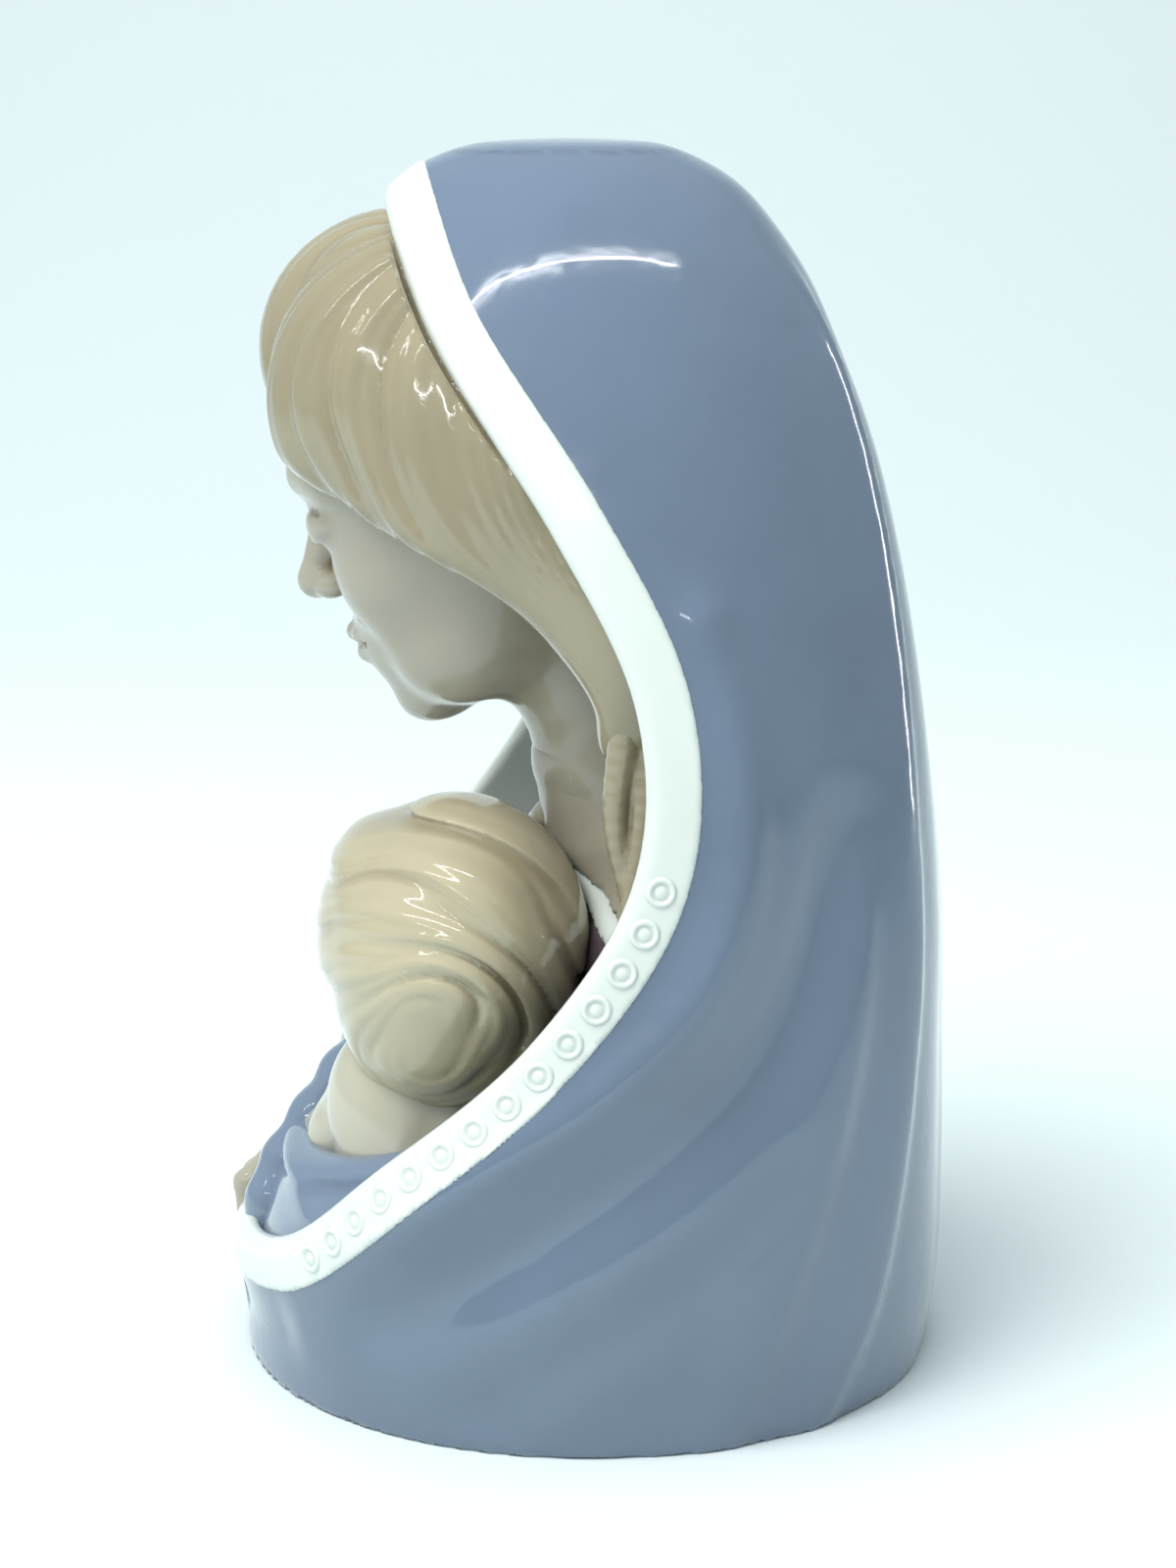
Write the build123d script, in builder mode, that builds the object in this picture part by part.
"""Porcelain madonna-and-child bust, in millimetres.

+Z is up, the madonna faces -Y, her left side is +X, and the origin is the middle of the foot.
It is a slip-cast figure: each casting below is one STEP file, and neighbours meet face to face
where they are luted together. The mantle and both heads are hollow, as slip casting leaves them.
"""

import os
from math import hypot, sqrt

from build123d import *

os.makedirs("parts", exist_ok=True)

# Driving dimensions
HEIGHT = 200.0
WALL = 3.6
BAND_WIDTH = 8.6
BAND_PROUD = 0.4
SIDE_REACH = 80.0
FRONT_REACH = 90.0
FOOT_RECESS = 1.2
PLATE_THICKNESS = 3.4
VENT_RADIUS = 1.8
RING_OUTER, RING_INNER = 2.2, 1.4
RING_PROUD, RING_DEPTH = 0.5, 2.0
RING_PITCH = 6.8
RING_LOWEST, RING_HIGHEST = 24.0, 94.0
RING_SEARCH_STEPS = 400

HEAD_CENTRE = (0, -15, 148)
HEAD_PITCH = 20
HEAD_TURN = -12
CHILD_HEAD_CENTRE = (14, -21, 73)
CHILD_HEAD_TURN = -62

# The mantle's sections: height, half width, front and back of an ellipse
MANTLE_SECTIONS = [
    (0.0, 54.5, -58.0, 58.0),
    (15.0, 56.0, -59.6, 59.8),
    (35.0, 56.3, -59.2, 60.2),
    (55.0, 55.3, -57.2, 59.9),
    (75.0, 53.4, -55.0, 59.6),
    (95.0, 50.7, -52.5, 56.8),
    (115.0, 47.6, -50.0, 53.2),
    (135.0, 43.8, -47.5, 48.8),
    (152.0, 39.6, -45.0, 44.0),
    (166.0, 34.8, -42.0, 38.8),
    (178.0, 28.8, -38.8, 33.4),
    (187.0, 22.4, -35.0, 27.6),
    (193.0, 16.5, -30.5, 22.2),
    (197.0, 10.8, -24.5, 15.6),
    (199.3, 6.0, -17.0, 8.6),
    (200.0, 2.4, -9.0, 1.4),
]
CROWN_START = 190.0
CROWN_NARROWING = 52.0

# The madonna's head, in its own tilted frame, and her hair
SKULL_OFFSET, SKULL = (0, 5, 9), (26, 31, 28)
FACE_OFFSET, FACE = (0, -9, -9), (22, 20, 28)
NECK = [(0, -6, 126, 12, 12.5), (0, 0, 112, 12, 12.5), (0, 5, 98, 13.5, 14)]
NECK_BORE = [(x, y, z, half_width - WALL, half_depth - WALL)
             for x, y, z, half_width, half_depth in NECK]
HAIR_THICKNESS = 4.8
HAIRLINE = [(-62, 156), (-45, 147), (-31, 139), (-15, 132), (-5, 124), (4, 112)]
NAPE_HEIGHT = 112

# Strands and limbs: x, y, z, half width and half depth at each station
LEFT_LOCK = [(32, -4, 136, 7, 4), (37, 1, 120, 6.5, 4.5), (40, 4.5, 106, 5.5, 5), (41, 6, 92, 4.5, 4.5),
             (39.5, 7, 80, 2.5, 3)]
RIGHT_LOCK = [(-32, -6, 136, 7, 4), (-37, -3, 120, 6.5, 4.5), (-40, -2, 106, 5.5, 5),
              (-40, -6, 94, 4.5, 4.5), (-37, -9, 84, 2.5, 3)]
CHILD_LEFT_ARM = [(12, -33, 51, 7.5, 7.5), (11, -37, 42, 6.2, 6.2), (4, -41, 35, 5, 5)]
CHILD_RIGHT_ARM = [(-5, -16, 50, 5.5, 5.5), (-14, -10, 62, 4.6, 4.6), (-13, -7.5, 78, 4, 4),
                   (-5, -7, 92, 3, 2.6)]
RIGHT_HAND = [(-29, -37.5, 34, 4.5, 6.5), (-22, -45, 32, 4.2, 7.5), (-15, -50.5, 30, 4, 7.5),
              (-9, -54, 27, 3, 5)]
SLEEVE = [(-38, -22, 37, 7.6, 9.6), (-34, -29, 36.5, 7.2, 9.2), (-30, -35, 36, 6.8, 8.8)]
FRONT_ROLL = [(-18, -43, 49, 4.6, 4), (-9, -48.5, 43, 5, 4.4), (-2, -52, 36, 5, 4.6), (1, -54, 29, 4, 4)]

# The bust: height, half width, middle and half depth of an ellipse
BUST_TURN = 10
BUST_BACK = 15
BUST_SECTIONS = [(20, 62, 25, 25), (55, 62, 25, 25), (76, 58, 24, 24), (88, 44, 21, 21), (97, 27, 17, 17),
                 (103, 16, 13, 13)]
NECKLINE_POINT, NECKLINE_NORMAL = (0, 0, 88), (0.42, 0, 0.9)
COLLAR_WIDTH = 3.2

# The child
CHILD_SKULL = (19.3, 21.2, 22.0)
CHILD_HAIR_THICKNESS = 3.0
CHILD_FACE_OPENING = (0, -24, -12), (60, 32, 40)
CHILD_TORSO_CENTRE, CHILD_TORSO = (14, -24, 38), (15, 17, 21)
WRAP_MIDDLE = (0, -21)
WRAP_SECTIONS = [(8, 42, 32), (20, 41.5, 31.5), (30, 38, 29), (38, 32, 24), (43, 20, 15)]

# The opening's edge seen from each side, as (y, z), from the crown down to the front
NEAR_EDGE = [(-33, 192), (-24, 170.5), (-5.5, 143), (7.2, 117), (6.6, 91), (-9, 66.5), (-33, 43.5)]
FAR_EDGE = [(-33, 192), (-25, 170.5), (-9, 143), (0, 120), (-6.5, 98), (-22, 76), (-38, 54)]
FRONT_END = [(-50, 26), (-66, 19)]


def ellipsoid(half_x, half_y, half_z):
    """An ellipsoid about the origin."""
    with BuildPart() as form:
        Sphere(1)
        scale(by=(half_x, half_y, half_z))
    return form.part


def draped_body(inset):
    """The mantle's closed teardrop body, drawn in by inset all round except at the foot."""
    with BuildPart() as body:
        for height, half_width, front, back in MANTLE_SECTIONS:
            narrow = 1 - inset / CROWN_NARROWING if height > CROWN_START else 1
            less = 0 if height > CROWN_START else inset
            with BuildSketch(Plane.XY.offset(height * (HEIGHT - inset) / HEIGHT)):
                with Locations((0, (front + back) / 2)):
                    Ellipse(half_width * narrow - less, (back - front) / 2 * narrow - less)
        loft()
    return body.part


def shifted(points, distance):
    """The points of an edge moved square to it, away from the opening."""
    moved = []
    for here, (y, z) in enumerate(points):
        before, after = points[max(here - 1, 0)], points[min(here + 1, len(points) - 1)]
        run_y, run_z = after[0] - before[0], after[1] - before[1]
        length = hypot(run_y, run_z)
        moved.append((y - distance * run_z / length, z + distance * run_y / length))
    return moved


def opening_prism(edge, reach):
    """All that lies in front of an edge curve, on the side that reach points to."""
    with BuildPart() as prism:
        with BuildSketch(Plane.YZ):
            with BuildLine():
                rim = Spline(*edge)
                Polyline(rim @ 1, (-FRONT_REACH, edge[-1][1]), (-FRONT_REACH, edge[0][1]), rim @ 0)
            make_face()
        extrude(amount=reach)
    return prism.part


near_rim, far_rim = NEAR_EDGE + FRONT_END, FAR_EDGE + FRONT_END
outer = draped_body(0)
inner = draped_body(WALL)
proud = draped_body(-BAND_PROUD)
opening = opening_prism(near_rim, SIDE_REACH) + opening_prism(far_rim, -SIDE_REACH)
wide_opening = opening_prism(shifted(near_rim, BAND_WIDTH), SIDE_REACH)
wide_opening += opening_prism(shifted(far_rim, BAND_WIDTH), -SIDE_REACH)

with BuildPart() as mantle_shell:
    add(outer)
    add(inner, mode=Mode.SUBTRACT)
    add(wide_opening, mode=Mode.SUBTRACT)
mantle_shell.part.label = "mantle_shell"
export_step(mantle_shell.part, "parts/mantle_shell.step")

with BuildPart() as mantle_border:
    add(proud)
    add(wide_opening, mode=Mode.INTERSECT)
    add(inner, mode=Mode.SUBTRACT)
    add(opening, mode=Mode.SUBTRACT)
mantle_border.part.label = "mantle_border"
export_step(mantle_border.part, "parts/mantle_border.step")



def section_at(height):
    """The mantle's half width, front and back at a height."""
    for low, high in zip(MANTLE_SECTIONS, MANTLE_SECTIONS[1:]):
        if low[0] <= height <= high[0]:
            share = (height - low[0]) / (high[0] - low[0])
            return [a + share * (b - a) for a, b in zip(low[1:], high[1:])]
    return list(MANTLE_SECTIONS[-1][1:])


def band_plane(y, z, side):
    """A plane on the mantle's outer face at (y, z), facing out, on the side with x of that sign."""
    half_width, front, back = section_at(z)
    middle, half_depth = (front + back) / 2, (back - front) / 2
    turn = max(-1.0, min(1.0, (y - middle) / half_depth))
    across = side * half_width * sqrt(1 - turn**2)
    outwards = (across / half_width**2, (y - middle) / half_depth**2, 0)
    return Plane(origin=(across, y, z), z_dir=outwards)


def ring_places(rim, side):
    """Planes spaced evenly along the middle of the border's lower stretch."""
    with BuildLine(Plane.YZ) as middle_line:
        Spline(*shifted(rim, BAND_WIDTH / 2))
    middle = middle_line.line
    places = []
    travelled, before = RING_PITCH, None
    for step in range(RING_SEARCH_STEPS + 1):
        point = middle @ (step / RING_SEARCH_STEPS)
        if not RING_LOWEST < point.Z < RING_HIGHEST:
            continue
        plane = band_plane(point.Y, point.Z, side)
        if before is not None:
            travelled += (plane.origin - before).length
        before = plane.origin
        if travelled >= RING_PITCH:
            places.append(plane)
            travelled = 0
    return places


with BuildPart() as border_rings:
    for plane in ring_places(near_rim, 1) + ring_places(far_rim, -1):
        with BuildSketch(plane.offset(-RING_DEPTH)):
            Circle(RING_OUTER)
            Circle(RING_INNER, mode=Mode.SUBTRACT)
        extrude(amount=RING_DEPTH + BAND_PROUD + RING_PROUD)
    add(proud, mode=Mode.SUBTRACT)
border_rings.part.label = "border_rings"
export_step(border_rings.part, "parts/border_rings.step")

with BuildPart() as base_plate:
    with BuildSketch(Plane.XY.offset(FOOT_RECESS)):
        Rectangle(2 * SIDE_REACH, 2 * FRONT_REACH)
    extrude(amount=PLATE_THICKNESS)
    add(inner, mode=Mode.INTERSECT)
    with Locations((0, 0, FOOT_RECESS)):
        Hole(VENT_RADIUS, depth=3 * PLATE_THICKNESS)
base_plate.part.label = "base_plate"
export_step(base_plate.part, "parts/base_plate.step")


def strand(stations):
    """A tapering strand through stations (x, y, z, half width, half depth), square to its run."""
    last = len(stations) - 1
    with BuildPart() as form:
        for here, (x, y, z, half_width, half_depth) in enumerate(stations):
            before, after = stations[max(here - 1, 0)], stations[min(here + 1, last)]
            run = Vector(*after[:3]) - Vector(*before[:3])
            level = Vector(0, 0, 1) if abs(run.Z) < abs(run.X) else Vector(1, 0, 0)
            across = run.cross(level)
            with BuildSketch(Plane(origin=(x, y, z), x_dir=across, z_dir=run)):
                Ellipse(half_width, half_depth)
        loft()
    return form.part




head_at = Location(HEAD_CENTRE, (0, 0, HEAD_TURN)) * Location((0, 0, 0), (HEAD_PITCH, 0, 0))
child_head_at = Location(CHILD_HEAD_CENTRE, (0, 0, CHILD_HEAD_TURN))

with BuildPart() as madonna_head:
    with Locations(head_at * Location(SKULL_OFFSET)):
        add(ellipsoid(*SKULL))
    with Locations(head_at * Location(FACE_OFFSET)):
        add(ellipsoid(*FACE))
    add(strand(NECK))
    with Locations(head_at * Location(SKULL_OFFSET)):
        add(ellipsoid(*(half - WALL for half in SKULL)), mode=Mode.SUBTRACT)
    add(strand(NECK_BORE), mode=Mode.SUBTRACT)
    add(mantle_border.part, mode=Mode.SUBTRACT)
madonna_head.part.label = "madonna_head"
export_step(madonna_head.part, "parts/madonna_head.step")

with BuildPart() as madonna_hair:
    with Locations(head_at * Location(SKULL_OFFSET)):
        add(ellipsoid(*(half + HAIR_THICKNESS for half in SKULL)))
    with BuildSketch(Plane.YZ):
        with BuildLine():
            hairline = Spline(*HAIRLINE)
            low_corner, high_corner = (-FRONT_REACH, HAIRLINE[-1][1]), (-FRONT_REACH, HAIRLINE[0][1])
            Polyline(hairline @ 1, low_corner, high_corner, hairline @ 0)
        make_face()
    extrude(amount=SIDE_REACH, both=True, mode=Mode.SUBTRACT)
    with BuildSketch(Plane.XY.offset(NAPE_HEIGHT)):
        Rectangle(2 * SIDE_REACH, 2 * FRONT_REACH)
    extrude(amount=-HEIGHT, mode=Mode.SUBTRACT)
    with Locations(head_at * Location(SKULL_OFFSET)):
        add(ellipsoid(*SKULL), mode=Mode.SUBTRACT)
    for neighbour in (madonna_head, mantle_shell, mantle_border):
        add(neighbour.part, mode=Mode.SUBTRACT)
madonna_hair.part.label = "madonna_hair"
export_step(madonna_hair.part, "parts/madonna_hair.step")


def hair_lock(stations):
    """A long lock that lies between the hair and the mantle's inner wall."""
    with BuildPart() as lock:
        add(strand(stations))
        add(inner, mode=Mode.INTERSECT)
        for neighbour in (madonna_head, madonna_hair, mantle_border, mantle_shell):
            add(neighbour.part, mode=Mode.SUBTRACT)
    return lock


hair_lock_left = hair_lock(LEFT_LOCK)
hair_lock_left.part.label = "hair_lock_left"
export_step(hair_lock_left.part, "parts/hair_lock_left.step")

hair_lock_right = hair_lock(RIGHT_LOCK)
hair_lock_right.part.label = "hair_lock_right"
export_step(hair_lock_right.part, "parts/hair_lock_right.step")


def bust_body(inset):
    """The bust's barrel, closed, drawn in by inset."""
    with BuildPart() as body:
        for height, half_width, middle, half_depth in BUST_SECTIONS:
            with BuildSketch(Plane.XY.rotated((0, 0, BUST_TURN)).offset(height - inset)):
                with Locations((0, middle)):
                    Ellipse(half_width - inset, half_depth - inset)
        loft()
    return body.part


with BuildPart() as inner_wrap:
    for height, half_width, half_depth in WRAP_SECTIONS:
        with BuildSketch(Plane.XY.offset(height)):
            with Locations(WRAP_MIDDLE):
                Ellipse(half_width, half_depth)
    loft()
inner_wrap.part.label = "inner_wrap"
export_step(inner_wrap.part, "parts/inner_wrap.step")

with BuildPart() as bust_wall:
    add(bust_body(0))
    add(bust_body(WALL), mode=Mode.SUBTRACT)
    add(inner, mode=Mode.INTERSECT)
    with BuildSketch(Plane.XZ.offset(-BUST_BACK)):
        Rectangle(2 * SIDE_REACH, 2 * HEIGHT)
    extrude(amount=-FRONT_REACH, mode=Mode.SUBTRACT)
    for neighbour in (inner_wrap, madonna_head, hair_lock_left, hair_lock_right, mantle_border):
        add(neighbour.part, mode=Mode.SUBTRACT)

neckline = Plane(origin=NECKLINE_POINT, z_dir=NECKLINE_NORMAL)
hem = neckline.offset(-COLLAR_WIDTH)

with BuildPart() as chest:
    add(bust_wall.part)
    split(bisect_by=neckline, keep=Keep.TOP)
chest.part.label = "chest"
export_step(chest.part, "parts/chest.step")

with BuildPart() as dress_collar:
    add(bust_wall.part)
    split(bisect_by=neckline, keep=Keep.BOTTOM)
    split(bisect_by=hem, keep=Keep.TOP)
dress_collar.part.label = "dress_collar"
export_step(dress_collar.part, "parts/dress_collar.step")

with BuildPart() as dress_bodice:
    add(bust_wall.part)
    split(bisect_by=hem, keep=Keep.BOTTOM)
dress_bodice.part.label = "dress_bodice"
export_step(dress_bodice.part, "parts/dress_bodice.step")

with BuildPart() as child_head:
    with Locations(child_head_at):
        add(ellipsoid(*CHILD_SKULL))
        add(ellipsoid(*(half - WALL for half in CHILD_SKULL)), mode=Mode.SUBTRACT)
child_head.part.label = "child_head"
export_step(child_head.part, "parts/child_head.step")

with BuildPart() as child_hair:
    with Locations(child_head_at):
        add(ellipsoid(*(half + CHILD_HAIR_THICKNESS for half in CHILD_SKULL)))
        add(ellipsoid(*CHILD_SKULL), mode=Mode.SUBTRACT)
    with Locations(child_head_at * Location(CHILD_FACE_OPENING[0])):
        Box(*CHILD_FACE_OPENING[1], mode=Mode.SUBTRACT)
    for neighbour in (chest, dress_collar, dress_bodice):
        add(neighbour.part, mode=Mode.SUBTRACT)
child_hair.part.label = "child_hair"
export_step(child_hair.part, "parts/child_hair.step")

with BuildPart() as child_torso:
    with Locations(CHILD_TORSO_CENTRE):
        add(ellipsoid(*CHILD_TORSO))
    with Locations(child_head_at):
        add(ellipsoid(*(half + CHILD_HAIR_THICKNESS for half in CHILD_SKULL)), mode=Mode.SUBTRACT)
    add(inner_wrap.part, mode=Mode.SUBTRACT)
child_torso.part.label = "child_torso"
export_step(child_torso.part, "parts/child_torso.step")


def limb(stations, neighbours):
    """A limb through stations, cut back to the castings that it is luted to."""
    with BuildPart() as form:
        add(strand(stations))
        for neighbour in neighbours:
            add(neighbour.part, mode=Mode.SUBTRACT)
    return form


child_left_arm = limb(CHILD_LEFT_ARM, [inner_wrap, child_torso, child_head, child_hair])
child_left_arm.part.label = "child_left_arm"
export_step(child_left_arm.part, "parts/child_left_arm.step")

child_right_arm = limb(CHILD_RIGHT_ARM, [inner_wrap, child_torso, child_head, child_hair])
child_right_arm.part.label = "child_right_arm"
export_step(child_right_arm.part, "parts/child_right_arm.step")

dress_sleeve = limb(SLEEVE, [inner_wrap])
dress_sleeve.part.label = "dress_sleeve"
export_step(dress_sleeve.part, "parts/dress_sleeve.step")

madonna_right_hand = limb(RIGHT_HAND, [inner_wrap, dress_sleeve])
madonna_right_hand.part.label = "madonna_right_hand"
export_step(madonna_right_hand.part, "parts/madonna_right_hand.step")

front_roll = limb(FRONT_ROLL, [inner_wrap, madonna_right_hand])
front_roll.part.label = "front_roll"
export_step(front_roll.part, "parts/front_roll.step")
